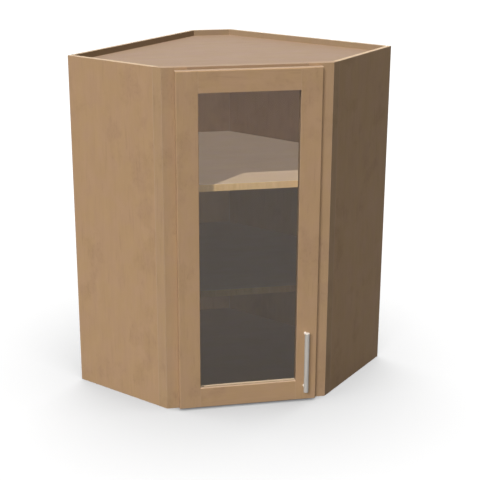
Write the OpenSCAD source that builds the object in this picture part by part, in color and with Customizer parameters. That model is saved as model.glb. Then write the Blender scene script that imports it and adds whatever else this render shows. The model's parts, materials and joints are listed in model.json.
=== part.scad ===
// Diagonal corner wall cabinet with one glazed door, in millimetres, +Z up.
// The origin is the middle of the base of the bounding box, and +Y points into the corner of the room.
// Inside the file, depth is counted from the front plane of the face frame.

/* [Carcass] */
// Length of the cabinet along each wall
wall_len = 609.6; // [580:0.1:660]
// Depth of each side panel, square to its wall
side_depth = 304.8; // [290:0.1:330]
// Height of the cabinet
carcass_h = 914.4; // [880:0.1:1070]
// Length that the clipped back corner takes off each wall
clip_leg = 79.5; // [66:0.5:100]
// Thickness of the side panels
side_t = 12.7; // [12:0.1:18]
// Thickness of the three back panels
back_t = 9; // [8:0.5:12]
// Thickness of the top and bottom panels
deck_t = 12.7; // [12:0.1:16]
// Drop of the top panel below the rim
top_recess = 16; // [10:0.5:19]
// Height of the underside of the bottom panel above the base
bottom_recess = 16; // [10:0.5:19]
// Depth of the grooves that hold the top and bottom panels
groove = 4; // [2:0.5:6]

/* [Hanging rails] */
// Thickness of a hanging rail
hang_t = 19; // [17:0.5:22]
// Height of a hanging rail
hang_h = 76; // [60:1:90]
// Radius of the holes for the wall screws
wall_hole_r = 3; // [2.5:0.1:4]
// Distance of the nearer wall screw hole from the clipped corner
wall_hole_near = 78; // [60:1:100]
// Distance of the farther wall screw hole from the clipped corner
wall_hole_far = 384; // [340:1:410]

/* [Face frame] */
// Thickness of the face frame
frame_t = 19; // [18:0.5:22]
// Width of a frame stile on its front face
frame_stile = 63.1; // [54:0.1:72]
// Height of a frame rail
frame_rail = 38.1; // [34:0.1:46]
// Length of the tenons of the frame and the door
tenon_l = 14; // [8:0.5:15]
// Thickness of the tenons
tenon_t = 7; // [5:0.5:8]
// Depth of the tenons behind the front face
tenon_set = 6; // [5:0.5:7]
// Shoulder above and below a frame tenon
frame_shoulder = 7; // [5:0.5:10]

/* [Door] */
// Overlap of the door on the face frame
overlay = 31.8; // [31:0.1:33]
// Thickness of the door
door_t = 19; // [18:0.5:22]
// Gap between the door and the face frame
door_gap = 2.2; // [2:0.1:3]
// Width of the door stiles and rails
door_member = 56; // [52:0.5:68]
// Shoulder above and below a door tenon
door_shoulder = 12; // [9:0.5:14]
// Radius of the outer front edges of the door
front_round = 3; // [1:0.5:4]
// Radius of the outer back edges of the door
rear_round = 1.5; // [1.5:0.1:2.5]
// Bevel on the front edges around the glass
inner_bevel = 0.8; // [0.3:0.1:1.2]

/* [Glazing] */
// Thickness of the glass
glass_t = 3; // [3:0.5:5]
// Depth of wood in front of the glass
lip_t = 7; // [6:0.5:8]
// Width of the rebate that holds the glass
rebate_w = 8; // [7:0.5:10]
// Height of the setting blocks under the glass
block_h = 2; // [1.5:0.5:3]
// Length of a setting block
block_l = 40; // [25:1:60]
// Distance of a setting block's middle from the side of the opening
block_in = 48; // [30:1:60]
// Thickness of the seal between the wood and the glass
seal_t = 1; // [0.8:0.1:1.5]
// Thickness of the seal's lining along the edge of the opening
lining_t = 1.2; // [0.8:0.1:1.6]
// Width of bare wood in front of the seal's lining
lining_set = 1.5; // [1.2:0.1:3]
// Radius of the pins that hold the glass stops
brad_r = 0.6; // [0.5:0.05:0.8]
// Length of the pins that hold the glass stops
brad_l = 16; // [12:1:17]
// Distance of the end pins from the ends of an upright glass stop
brad_end = 80; // [40:5:150]
// Distance of the pins of a level glass stop from its middle
brad_side = 70; // [40:1:100]

/* [Shelves] */
// Thickness of a shelf
shelf_t = 18; // [15:0.5:22]
// Gap around a shelf
shelf_gap = 2; // [1:0.5:3]
// Distance of the shelf's front edge behind the face frame
shelf_setback = 3; // [2:0.5:12]
// Thickness of the edging on the front of a shelf
edging_t = 1; // [0.5:0.1:2]
// Height of the lowest row of shelf holes
first_row = 170.5; // [140:0.5:200]
// Distance from one row of shelf holes to the next
row_pitch = 32; // [25:1:35]
// Number of rows of shelf holes
row_count = 18; // [17:1:18]
// Number of rows of shelf holes below the lower shelf's row
lower_row_count = 4; // [2:1:6]
// Number of rows of shelf holes below the upper shelf's row
upper_row_count = 13; // [11:1:15]
// Distance of the front column of holes from the face frame
front_column = 40; // [30:1:60]
// Distance between the two columns of holes in a side
column_pitch = 160; // [130:1:180]
// Distance of the shelf pin in a back panel from the clipped corner
back_column = 70; // [50:1:110]

/* [Shelf pins] */
// Radius of the peg
peg_r = 2.5; // [2:0.1:3]
// Length of the peg in its hole
peg_l = 5.5; // [4:0.1:6]
// Height of the shelf above the middle of the peg
peg_drop = 4; // [3.5:0.1:6]
// Length of the flat under the shelf
spoon_l = 12; // [8:0.5:16]
// Width of the flat
spoon_w = 10; // [8:0.5:14]
// Thickness of the steel
spoon_t = 1.6; // [1:0.1:2]

/* [Hinges] */
// Distance of a hinge's middle from the end of the door
hinge_inset = 86; // [80:1:110]
// Radius of the cup
cup_r = 17.5; // [17.4:0.1:17.8]
// Depth of the cup
cup_depth = 11.5; // [11:0.1:12.5]
// Wall of the cup
cup_wall = 0.8; // [0.6:0.1:0.9]
// Distance of the cup from the edge of the door
cup_edge = 3; // [3:0.1:3.1]
// Distance of the hinge pin from the edge of the door
pin_in = 6.5; // [6.5:0.05:6.7]
// Depth of the hinge pin in the door
pin_deep = 7.5; // [7.4:0.1:7.8]
// Radius of the hinge pin
hinge_pin_r = 1.25; // [1:0.05:1.25]
// Gap between the arm's eye and each cheek of the cup
cheek_gap = 0.2; // [0.1:0.05:0.4]
// Thickness of the cup's cheeks
cheek_t = 2.8; // [2:0.1:3.5]
// Thickness of the steel of the arm
arm_t = 1.8; // [1.5:0.1:1.9]
// Wall of the arm's eye round the hinge pin
eye_wall = 1.05; // [0.8:0.05:1.1]
// Width of the arm's eye and of its strap
eye_w = 7; // [5:0.5:7]
// Width of the arm where it leaves the cup
neck_w = 14; // [10:0.5:16]
// Distance that the neck runs past the front of the face frame
neck_past = 1; // [0.5:0.1:2]
// Height of the plate on the face frame
plate_h = 30; // [24:1:36]
// Distance of the plate's edge from the back of the face frame
plate_margin = 1; // [0.5:0.1:2]
// Distance of the plate's screw from the back of the face frame
plate_screw_in = 8; // [6:0.5:10]
// Height of the cup's flange
flange_h = 56; // [54:1:62]
// Width of the cup's flange
flange_w = 14; // [12:0.5:16]
// Distance of the flange's edge from the middle of the cup
flange_from = 2; // [1:0.5:4]
// Thickness of the cup's flange
flange_t = 1; // [0.8:0.1:1.2]
// Distance of the flange's screws from the middle of the cup, up and down
flange_screw = 22.5; // [22:0.5:24]

/* [Pull] */
// Distance of the pull from the edge of the door
pull_in = 32.8; // [30:0.1:38]
// Height of the pull's lower post above the lower edge of the door
pull_up = 42; // [38:0.5:80]
// Distance between the posts
post_pitch = 152.4; // [96:0.1:192]
// Length of the bar past each post
bar_past = 8.8; // [6:0.1:20]
// Radius of the bar
bar_r = 6.35; // [5.5:0.05:7.5]
// Rounding of the bar's ends
bar_end = 0.8; // [0.4:0.1:1.5]
// Distance of the bar's front from the face of the door
pull_reach = 29.6; // [25:0.1:36]
// Radius of a post
post_r = 3.8; // [3.2:0.1:4.2]
// Radius of the screws in the pull
pull_screw_r = 2; // [1.6:0.1:2.2]
// Length of a pull screw inside its post
pull_screw_in = 10; // [8:0.5:14]
// Room beyond the tip of a pull screw
tip_room = 1; // [0.5:0.1:2]
// Radius of a pull screw's head
pan_r = 3.6; // [3:0.1:4]
// Height of a pull screw's head
pan_h = 2.4; // [2:0.1:2.8]
// Radius of the spigot on a post's end
spigot_r = 2.5; // [2:0.1:2.8]
// Depth of the spigot in the bar
spigot_l = 5; // [3:0.5:6]
// Radius of the recess for a pull screw's head
recess_r = 5; // [4.8:0.1:6]
// Depth of the recess for a pull screw's head
recess_d = 4; // [3:0.5:6]

/* [Screws and bumpers] */
// Radius of the carcass screws' shanks
screw_r = 2; // [1.5:0.1:2.2]
// Radius of the carcass screws' heads
screw_head_r = 4; // [3.5:0.1:4.5]
// Length of the carcass screws
screw_l = 25; // [20:1:25]
// Distance of the nearer carcass screws from the clipped corner
screw_near = 130; // [115:1:160]
// Distance of the farther carcass screws from the clipped corner
screw_far = 430; // [425:1:450]
// Radius of the hinge screws' shanks
hinge_screw_r = 1.5; // [1.2:0.1:1.7]
// Radius of the hinge screws' heads
hinge_head_r = 3.2; // [2.6:0.1:3.4]
// Length of the hinge screws
hinge_screw_l = 13; // [10:0.5:14]
// Radius of a bumper
bumper_r = 5; // [4:0.5:8]
// Distance of a bumper's middle from the edges of the door
bumper_in = 13; // [12:0.5:18]
// Clearance all round a pin, peg or screw
slack = 0.05; // [0.03:0.01:0.1]
// Gap between a bumper and the face frame
rest_gap = 0.2; // [0.1:0.05:0.4]

/* [Hidden] */
$fn = 48;
diag = sqrt(2);
past = 1;

// Plan of the cabinet, with y counted from the front plane of the face frame
front_half = (wall_len - side_depth) / diag;
corner_y = (wall_len + side_depth) / diag;
clip_y = corner_y - clip_leg / diag;

// The top panel and the opening of the face frame
top_panel_z = carcass_h - top_recess - deck_t;
opening_half = front_half - frame_stile;
opening_z = [frame_rail, carcass_h - frame_rail];

// The door and the glass opening in it
door_half = opening_half + overlay;
door_z = [opening_z[0] - overlay, opening_z[1] + overlay];
door_back = -door_gap;
door_front = door_back - door_t;
sight_half = door_half - door_member;
sight_z = [door_z[0] + door_member, door_z[1] - door_member];
lip_back = door_front + lip_t;
glass_y = lip_back + seal_t;
glass_cover = rebate_w - block_h;
stop_y = glass_y + glass_t;

// The pull
bar_front = door_front - pull_reach;
bar_back = bar_front + 2 * bar_r;
pull_x = door_half - pull_in;
post_z = [door_z[0] + pull_up, door_z[0] + pull_up + post_pitch];

// Depth of the face frame's front plane, which puts the origin in the middle of the cabinet's depth
frame_y = -(clip_y + bar_front) / 2;

// The hinges, counted from the edge and the back of the door
hinge_z = [door_z[0] + hinge_inset, door_z[1] - hinge_inset];
cup_x = cup_edge + cup_r;
eye_r = hinge_pin_r + eye_wall;
plate_x = overlay;
plate_end = door_gap + frame_t - plate_margin;
neck_end = door_gap + neck_past;
plate_screw_y = door_gap + frame_t - plate_screw_in;

// Heights of the rows of shelf holes and of the shelves
function row_z(row) = first_row + row * row_pitch;
shelf_rows = [lower_row_count, upper_row_count];
shelf_front = frame_t + shelf_setback;

// Colours as the photograph shows them
maple = [0.68, 0.55, 0.42];
pale_maple = [0.74, 0.64, 0.54];
edge_maple = [0.86, 0.74, 0.58];
steel = [0.72, 0.71, 0.69];
rubber = [0.16, 0.13, 0.11];
clear = [0.75, 0.85, 0.82, 0.35];

// Right half of an outline set in from the sides, the backs and the clipped corner:
// its front corner, its corner at the wall's end and its corner at the clip
function half_plan(front, side_in, back_in, clip_in) = [
    [front_half + front - side_in * diag, front],
    [
        (front_half + corner_y - (side_in + back_in) * diag) / 2,
        (corner_y - front_half + (side_in - back_in) * diag) / 2
    ],
    [corner_y - back_in * diag - clip_y + clip_in, clip_y - clip_in]
];
function other_half(points) = [for (i = [len(points) - 1 : -1 : 0]) [-points[i][0], points[i][1]]];
function plan(front, side_in, back_in, clip_in) =
    let (half = half_plan(front, side_in, back_in, clip_in)) concat(half, other_half(half));

// A board of the given plan and thickness that lies at height z
module board(points, z, t) {
    translate([0, frame_y, z]) linear_extrude(t) polygon(points);
}

// A block between two corners, with depth counted from the face frame
module block(low, high) {
    translate([low[0], low[1] + frame_y, low[2]]) cube(high - low);
}

module mirrored() {
    mirror([1, 0, 0]) children();
}

module both_hands() {
    children();
    mirrored() children();
}

// A round bar along Y from depth y0 to depth y1
module y_rod(r, y0, y1) {
    translate([0, y1, 0]) rotate([90, 0, 0]) cylinder(h = y1 - y0, r = r);
}

// A countersunk screw with its head flush with z = 0 and its shank pointing down
module flat_screw(r, head_r, length) {
    head_h = head_r - r;
    slot_w = head_r / 5;
    slot_h = head_h / 2;
    difference() {
        union() {
            translate([0, 0, -head_h]) cylinder(h = head_h, r1 = r, r2 = head_r);
            translate([0, 0, -length]) cylinder(h = length - head_h, r = r);
        }
        for (turn = [0, 90]) {
            rotate(turn) translate([-r, -slot_w / 2, -slot_h]) cube([2 * r, slot_w, slot_h + past]);
        }
    }
}

// The hole for such a screw
module flat_screw_hole(r, head_r, length) {
    head_h = head_r - r;
    cylinder(h = past, r = head_r + slack);
    translate([0, 0, -head_h]) cylinder(h = head_h, r1 = r + slack, r2 = head_r + slack);
    translate([0, 0, -length - slack]) cylinder(h = length + slack, r = r + slack);
}

// Places on the outer face of the right back panel, at distance s from the clipped corner, with +Z outwards
module on_right_wall(s, z) {
    corner = half_plan(0, 0, 0, 0)[2];
    translate([corner[0] + s / diag, frame_y + corner[1] - s / diag, z]) rotate([90, 0, 135]) children();
}

// The same on the clipped corner's panel, at its middle
module on_clip(z) {
    translate([0, frame_y + clip_y, z]) rotate([90, 0, 180]) children();
}

// Places on the inner face of the right side panel, at distance s from the face frame, with +X inwards
module on_right_side(s, z) {
    start = half_plan(frame_t, side_t, 0, 0)[0];
    translate([start[0] + s / diag, frame_y + start[1] + s / diag, z]) rotate(135) children();
}

// Places on the inner face of the right back panel, at distance s from the clipped corner, with +X inwards
module on_right_back(s, z) {
    start = half_plan(0, 0, back_t, back_t)[2];
    translate([start[0] + s / diag, frame_y + start[1] - s / diag, z]) rotate(225) children();
}

// The top and bottom panels, whose edges lie in grooves of the sides and the face frame
module deck(z) {
    board(plan(frame_t - groove, side_t - groove, back_t, back_t), z, deck_t);
}

module deck_pair() {
    deck(top_panel_z);
    deck(bottom_recess);
}

// Heights of the carcass screws: into the two decks, and into the hanging rails
deck_screw_z = [bottom_recess + deck_t / 2, top_panel_z + deck_t / 2];
rail_screw_z = top_panel_z - hang_h / 2;

// What each carcass screw carries, a screw or its hole, on the right wall and on the clip
module at_wall_screws() {
    for (s = [screw_near, screw_far], z = concat(deck_screw_z, [rail_screw_z])) {
        on_right_wall(s, z) children();
    }
}

module at_clip_screws() {
    for (z = deck_screw_z) on_clip(z) children();
}

module carcass_screw() {
    flat_screw(screw_r, screw_head_r, screw_l);
}

module carcass_screw_hole() {
    flat_screw_hole(screw_r, screw_head_r, screw_l);
}

// Holes through the right hanging rail and back panel for the screws into the wall
module wall_holes() {
    for (s = [wall_hole_near, wall_hole_far]) {
        on_right_wall(s, rail_screw_z) translate([0, 0, -back_t - hang_t - past])
            cylinder(h = back_t + hang_t + 2 * past, r = wall_hole_r);
    }
}

// A shelf pin: a peg in its hole, a collar against the panel, and a flat and rib under the shelf
module shelf_pin() {
    flat_z = peg_drop - spoon_t;
    translate([-peg_l, 0, 0]) rotate([0, 90, 0]) cylinder(h = peg_l + spoon_t, r = peg_r);
    translate([0, -spoon_w / 2, flat_z]) cube([spoon_l, spoon_w, spoon_t]);
    translate([0, -spoon_w / 2, -peg_r]) cube([spoon_t, spoon_w, peg_drop + peg_r]);
    translate([0, spoon_t / 2, 0]) rotate([90, 0, 0]) linear_extrude(spoon_t)
        polygon([[0, -peg_r], [spoon_l - spoon_t, flat_z], [0, flat_z]]);
}

module pin_hole() {
    depth = peg_l + slack;
    translate([-depth, 0, 0]) rotate([0, 90, 0]) cylinder(h = depth + past, r = peg_r + slack);
}

// The right side panel, cut at 45 degrees along the back of the face frame
module side_panel() {
    outer = half_plan(frame_t, 0, 0, 0);
    inner = half_plan(frame_t, side_t, 0, 0);
    difference() {
        board([outer[0], outer[1], inner[1], inner[0]], 0, carcass_h);
        deck_pair();
        for (s = [front_column, front_column + column_pitch], row = [0 : row_count - 1]) {
            on_right_side(s, row_z(row)) pin_hole();
        }
    }
}

module right_side_panel() {
    color(maple) side_panel();
}

module left_side_panel() {
    color(maple) mirrored() side_panel();
}

// The right back panel, mitred to the clipped corner's panel
module back_panel() {
    outer = half_plan(0, side_t, 0, 0);
    inner = half_plan(0, side_t, back_t, back_t);
    difference() {
        board([outer[1], outer[2], inner[2], inner[1]], 0, carcass_h);
        at_wall_screws() carcass_screw_hole();
        wall_holes();
        for (row = shelf_rows) on_right_back(back_column, row_z(row)) pin_hole();
    }
}

module right_back_panel() {
    color(maple) back_panel();
}

module left_back_panel() {
    color(maple) mirrored() back_panel();
}

module corner_back_panel() {
    outer = half_plan(0, side_t, 0, 0)[2];
    inner = half_plan(0, side_t, back_t, back_t)[2];
    color(maple) difference() {
        board(concat([inner, outer], other_half([inner, outer])), 0, carcass_h);
        at_clip_screws() carcass_screw_hole();
    }
}

module drilled_deck(z) {
    difference() {
        deck(z);
        both_hands() at_wall_screws() carcass_screw_hole();
        at_clip_screws() carcass_screw_hole();
    }
}

module top_panel() {
    color(pale_maple) drilled_deck(top_panel_z);
}

module bottom_panel() {
    color(pale_maple) drilled_deck(bottom_recess);
}

// The right hanging rail, under the top panel against the back
module hanging_rail() {
    outer = half_plan(0, side_t, back_t, back_t);
    inner = half_plan(0, side_t, back_t + hang_t, back_t);
    difference() {
        board([outer[1], outer[2], inner[2], inner[1]], top_panel_z - hang_h, hang_h);
        at_wall_screws() carcass_screw_hole();
        wall_holes();
    }
}

module right_hanging_rail() {
    color(pale_maple) hanging_rail();
}

module left_hanging_rail() {
    color(pale_maple) mirrored() hanging_rail();
}

module carcass_screws() {
    color(steel) {
        both_hands() at_wall_screws() carcass_screw();
        at_clip_screws() carcass_screw();
    }
}

// Tenons at both ends of a rail that lies between two stiles
module tenons(half, front, z0, z1, shoulder) {
    both_hands() block(
        [half - past, front + tenon_set, z0 + shoulder],
        [half + tenon_l, front + tenon_set + tenon_t, z1 - shoulder]
    );
}

module frame_tenons() {
    tenons(opening_half, 0, 0, opening_z[0], frame_shoulder);
    tenons(opening_half, 0, opening_z[1], carcass_h, frame_shoulder);
}

module right_stile_blank() {
    front = [[opening_half, 0], [front_half, 0]];
    back = [[front_half + frame_t, frame_t], [opening_half, frame_t]];
    board(concat(front, back), 0, carcass_h);
}

module right_frame_stile() {
    color(maple) difference() {
        right_stile_blank();
        frame_tenons();
        deck_pair();
    }
}

// The left stile also takes the screws of the hinge plates in its edge
module left_frame_stile() {
    color(maple) difference() {
        mirrored() right_stile_blank();
        frame_tenons();
        deck_pair();
        at_hinges() at_plate_screw() flat_screw_hole(hinge_screw_r, hinge_head_r, hinge_screw_l);
    }
}

module frame_rail_between(z0, z1) {
    difference() {
        union() {
            block([-opening_half, 0, z0], [opening_half, frame_t, z1]);
            tenons(opening_half, 0, z0, z1, frame_shoulder);
        }
        deck_pair();
    }
}

module top_frame_rail() {
    color(maple) frame_rail_between(opening_z[1], carcass_h);
}

module bottom_frame_rail() {
    color(maple) frame_rail_between(0, opening_z[0]);
}

// Shelves, each with an edging on its front
module shelf(row) {
    board(
        plan(shelf_front + edging_t, side_t + shelf_gap, back_t + shelf_gap, back_t + shelf_gap),
        row_z(row) + peg_drop, shelf_t
    );
}

module shelf_edging(row) {
    front = half_plan(shelf_front, side_t + shelf_gap, 0, 0)[0];
    back = half_plan(shelf_front + edging_t, side_t + shelf_gap, 0, 0)[0];
    board(concat([front, back], other_half([front, back])), row_z(row) + peg_drop, shelf_t);
}

module lower_shelf() {
    color(pale_maple) shelf(lower_row_count);
}

module lower_shelf_edging() {
    color(edge_maple) shelf_edging(lower_row_count);
}

module upper_shelf() {
    color(pale_maple) shelf(upper_row_count);
}

module upper_shelf_edging() {
    color(edge_maple) shelf_edging(upper_row_count);
}

module shelf_pins() {
    color(steel) both_hands() for (row = shelf_rows) {
        for (s = [front_column, front_column + column_pitch]) on_right_side(s, row_z(row)) shelf_pin();
        on_right_back(back_column, row_z(row)) shelf_pin();
    }
}

// Section of the door from its edge inwards, rounded more at the front than at the back
module door_section(width) {
    half_t = door_t / 2;
    translate([front_round, 0]) square([width - 2 * front_round, half_t]);
    translate([0, front_round]) square([width, door_t - front_round - rear_round]);
    translate([rear_round, half_t]) square([width - 2 * rear_round, half_t]);
    for (u = [front_round, width - front_round]) translate([u, front_round]) circle(front_round);
    for (u = [rear_round, width - rear_round]) translate([u, door_t - rear_round]) circle(rear_round);
}

module door_blank() {
    width = 2 * door_half;
    height = door_z[1] - door_z[0];
    intersection() {
        translate([-door_half, frame_y + door_front, door_z[0]]) linear_extrude(height) door_section(width);
        translate([door_half, frame_y + door_front, door_z[0]])
            rotate([0, -90, 0]) linear_extrude(width) door_section(height);
    }
}

// A ring's outer block around the glass opening, from depth y0 to depth y1
module around_sight(side, under, over, y0, y1) {
    block([-sight_half - side, y0, sight_z[0] - under], [sight_half + side, y1, sight_z[1] + over]);
}

module sight_bevels() {
    rise = sight_z[1] - sight_z[0];
    for (x = [-sight_half, sight_half]) {
        translate([x, frame_y + door_front, sight_z[0]]) cylinder(h = rise, r = inner_bevel, $fn = 4);
    }
    for (z = sight_z) {
        translate([-sight_half, frame_y + door_front, z]) rotate([0, 90, 0])
            cylinder(h = 2 * sight_half, r = inner_bevel, $fn = 4);
    }
}

// The whole door without its joints: the opening, the rebate for the glass and the seat of the seal's lining
module door_cut_out() {
    difference() {
        door_blank();
        around_sight(0, 0, 0, door_front - past, door_back + past);
        around_sight(rebate_w, rebate_w, rebate_w, lip_back, door_back + past);
        around_sight(lining_t, 0, lining_t, door_front + lining_set, lip_back + past);
        sight_bevels();
    }
}

module door_tenons() {
    tenons(sight_half, door_front, door_z[0], sight_z[0], door_shoulder);
    tenons(sight_half, door_front, sight_z[1], door_z[1], door_shoulder);
}

// Holes for the pins of the glass stops
module at_upright_brads() {
    for (z = [sight_z[0] + brad_end, (sight_z[0] + sight_z[1]) / 2, sight_z[1] - brad_end]) {
        translate([sight_half, frame_y + (stop_y + door_back) / 2, z]) rotate([0, -90, 0]) children();
    }
}

module at_level_brads() {
    for (x = [-brad_side, brad_side]) {
        translate([x, frame_y + (stop_y + door_back) / 2, sight_z[1]]) rotate([180, 0, 0]) children();
        translate([x, frame_y + (stop_y + door_back) / 2, sight_z[0]]) children();
    }
}

module brad() {
    translate([0, 0, -brad_l]) cylinder(h = brad_l, r = brad_r);
}

module brad_hole() {
    translate([0, 0, -brad_l - slack]) cylinder(h = brad_l + slack + past, r = brad_r + slack);
}

module door_stile_blank() {
    difference() {
        intersection() {
            door_cut_out();
            block([sight_half, door_front - past, door_z[0]], [door_half, door_back + past, door_z[1]]);
        }
        door_tenons();
        at_upright_brads() brad_hole();
    }
}

// The right stile carries the pull
module right_door_stile() {
    color(maple) difference() {
        door_stile_blank();
        for (z = post_z) translate([pull_x, frame_y, z]) {
            y_rod(pull_screw_r + slack, door_front - past, door_back + past);
            y_rod(recess_r, door_back - recess_d, door_back + past);
        }
    }
}

// The left stile carries the hinge cups
module left_door_stile() {
    color(maple) difference() {
        mirrored() door_stile_blank();
        at_hinges() {
            translate([cup_x, 0, 0]) y_rod(cup_r + slack, -cup_depth - slack, past);
            at_flange_screws() flat_screw_hole(hinge_screw_r, hinge_head_r, hinge_screw_l);
        }
    }
}

module door_rail(z0, z1) {
    difference() {
        union() {
            intersection() {
                door_cut_out();
                block([-sight_half, door_front - past, z0], [sight_half, door_back + past, z1]);
            }
            intersection() {
                door_tenons();
                block([-door_half, door_front, z0], [door_half, door_back, z1]);
            }
        }
        at_level_brads() brad_hole();
    }
}

module top_door_rail() {
    color(maple) door_rail(sight_z[1], door_z[1]);
}

module bottom_door_rail() {
    color(maple) door_rail(door_z[0], sight_z[0]);
}

module door_glass() {
    color(clear) around_sight(glass_cover, glass_cover, glass_cover, glass_y, stop_y);
}

// The seal lies between the wood and the glass and lines the sides and the top of the opening
module glass_seal() {
    color(rubber) difference() {
        union() {
            around_sight(glass_cover, glass_cover, glass_cover, lip_back, glass_y);
            around_sight(lining_t, 0, lining_t, door_front + lining_set, glass_y);
        }
        around_sight(0, 0, 0, door_front, glass_y + past);
    }
}

module setting_blocks() {
    x = sight_half - block_in;
    color(rubber) both_hands() block(
        [x - block_l / 2, glass_y, sight_z[0] - rebate_w],
        [x + block_l / 2, stop_y, sight_z[0] - glass_cover]
    );
}

module upright_glass_stops() {
    color(maple) both_hands() difference() {
        block([sight_half, stop_y, sight_z[0]], [sight_half + rebate_w, door_back, sight_z[1]]);
        at_upright_brads() brad_hole();
    }
}

module level_glass_stops() {
    end = sight_half + rebate_w;
    color(maple) difference() {
        union() {
            block([-end, stop_y, sight_z[0] - rebate_w], [end, door_back, sight_z[0]]);
            block([-end, stop_y, sight_z[1]], [end, door_back, sight_z[1] + rebate_w]);
        }
        at_level_brads() brad_hole();
    }
}

module stop_pins() {
    color(steel) {
        both_hands() at_upright_brads() brad();
        at_level_brads() brad();
    }
}

// The hinges stand at the left edge of the door. There +X runs inwards from the edge, y is 0 at the
// door's back and grows towards the face frame, and z is 0 at the hinge's middle
module at_hinges() {
    for (z = hinge_z) translate([-door_half, frame_y + door_back, z]) children();
}

module at_flange_screws() {
    for (z = [-flange_screw, flange_screw]) {
        translate([cup_x + flange_from + flange_w / 2, flange_t, z]) rotate([-90, 0, 0]) children();
    }
}

module at_plate_screw() {
    translate([plate_x + arm_t, plate_screw_y, 0]) rotate([0, 90, 0]) children();
}

// The lower end of something of that half length on the axis of the hinge pin
module on_hinge_pin(half) {
    translate([pin_in, -pin_deep, -half]) children();
}

// A steel cup with two cheeks for the hinge pin and a flange on the back of the door
module hinge_cup() {
    cheek_z = eye_w / 2 + cheek_gap;
    difference() {
        union() {
            translate([cup_x, 0, 0]) y_rod(cup_r, -cup_depth, 0);
            translate([cup_x + flange_from, 0, -flange_h / 2]) cube([flange_w, flange_t, flange_h]);
        }
        difference() {
            translate([cup_x, 0, 0]) y_rod(cup_r - cup_wall, -cup_depth + cup_wall, past + flange_t);
            for (z = [cheek_z, -cheek_z - cheek_t]) translate([0, -cup_depth, z]) {
                cube([pin_in + eye_r, cup_depth - pin_deep + eye_r, cheek_t]);
            }
        }
        on_hinge_pin(cheek_z + cheek_t) cylinder(h = 2 * (cheek_z + cheek_t), r = hinge_pin_r + slack);
        at_flange_screws() flat_screw_hole(hinge_screw_r, hinge_head_r, hinge_screw_l);
    }
}

// The arm has an eye on the pin, a strap along the bottom of the cup, a neck and a plate on the frame's edge
module hinge_arm() {
    strap_y = -pin_deep - eye_r;
    difference() {
        union() {
            on_hinge_pin(eye_w / 2) cylinder(h = eye_w, r = eye_r);
            translate([pin_in, strap_y, -eye_w / 2]) cube([plate_x + arm_t - pin_in, arm_t, eye_w]);
            translate([plate_x, strap_y, -neck_w / 2]) cube([arm_t, neck_end - strap_y, neck_w]);
            translate([plate_x, neck_end, -plate_h / 2]) cube([arm_t, plate_end - neck_end, plate_h]);
        }
        on_hinge_pin(eye_w / 2 + past) cylinder(h = eye_w + 2 * past, r = hinge_pin_r + slack);
        at_plate_screw() flat_screw_hole(hinge_screw_r, hinge_head_r, hinge_screw_l);
    }
}

module hinge_cups() {
    color(steel) at_hinges() hinge_cup();
}

module hinge_pins() {
    pin_h = eye_w + 2 * (cheek_gap + cheek_t);
    color(steel) at_hinges() on_hinge_pin(pin_h / 2) cylinder(h = pin_h, r = hinge_pin_r);
}

module hinge_arms() {
    color(steel) at_hinges() hinge_arm();
}

module cup_screws() {
    color(steel) at_hinges() at_flange_screws() flat_screw(hinge_screw_r, hinge_head_r, hinge_screw_l);
}

module plate_screws() {
    color(steel) at_hinges() at_plate_screw() flat_screw(hinge_screw_r, hinge_head_r, hinge_screw_l);
}

// Bumpers at the corners of the door away from the hinges
module door_bumpers() {
    color(clear) for (z = [door_z[0] + bumper_in, door_z[1] - bumper_in]) {
        translate([door_half - bumper_in, frame_y, z]) y_rod(bumper_r, door_back, -rest_gap);
    }
}

// The bar as turned, without the holes for the posts
module bar_blank() {
    length = post_pitch + 2 * bar_past;
    translate([pull_x, frame_y + bar_back - bar_r, post_z[0] - bar_past]) rotate_extrude() {
        square([bar_r - bar_end, length]);
        translate([0, bar_end]) square([bar_r, length - 2 * bar_end]);
        for (z = [bar_end, length - bar_end]) translate([bar_r - bar_end, z]) circle(bar_end);
    }
}

module pull_bar() {
    color(steel) difference() {
        bar_blank();
        for (z = post_z) translate([pull_x, frame_y, z]) {
            y_rod(spigot_r + slack, bar_back - spigot_l - slack, bar_back + past);
        }
    }
}

// Each post fits the bar's round back and has a spigot in it
module pull_posts() {
    color(steel) difference() {
        union() {
            difference() {
                for (z = post_z) translate([pull_x, frame_y, z]) y_rod(post_r, bar_back - bar_r, door_front);
                bar_blank();
            }
            for (z = post_z) translate([pull_x, frame_y, z]) y_rod(spigot_r, bar_back - spigot_l, bar_back + past);
        }
        for (z = post_z) translate([pull_x, frame_y, z]) {
            y_rod(pull_screw_r + slack, door_front - pull_screw_in - tip_room, door_front + past);
        }
    }
}

module pull_screws() {
    head_y = door_back - recess_d;
    color(steel) for (z = post_z) translate([pull_x, frame_y, z]) difference() {
        union() {
            y_rod(pull_screw_r, door_front - pull_screw_in, head_y);
            y_rod(pan_r, head_y, head_y + pan_h);
        }
        for (turn = [0, 90]) {
            rotate([0, turn, 0]) translate([-pull_screw_r, head_y + pan_h / 2, -pan_h / 6])
                cube([2 * pull_screw_r, pan_h, pan_h / 3]);
        }
    }
}

left_side_panel();
right_side_panel();
left_back_panel();
right_back_panel();
corner_back_panel();
top_panel();
bottom_panel();
left_hanging_rail();
right_hanging_rail();
left_frame_stile();
right_frame_stile();
top_frame_rail();
bottom_frame_rail();
lower_shelf();
lower_shelf_edging();
upper_shelf();
upper_shelf_edging();
shelf_pins();
carcass_screws();
left_door_stile();
right_door_stile();
top_door_rail();
bottom_door_rail();
door_glass();
glass_seal();
setting_blocks();
upright_glass_stops();
level_glass_stops();
stop_pins();
hinge_cups();
hinge_pins();
hinge_arms();
cup_screws();
plate_screws();
door_bumpers();
pull_bar();
pull_posts();
pull_screws();
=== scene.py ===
"""Finishes a corner wall cabinet: eased maple boards, glazing, hinges, pull, fixings and the stage."""

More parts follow.
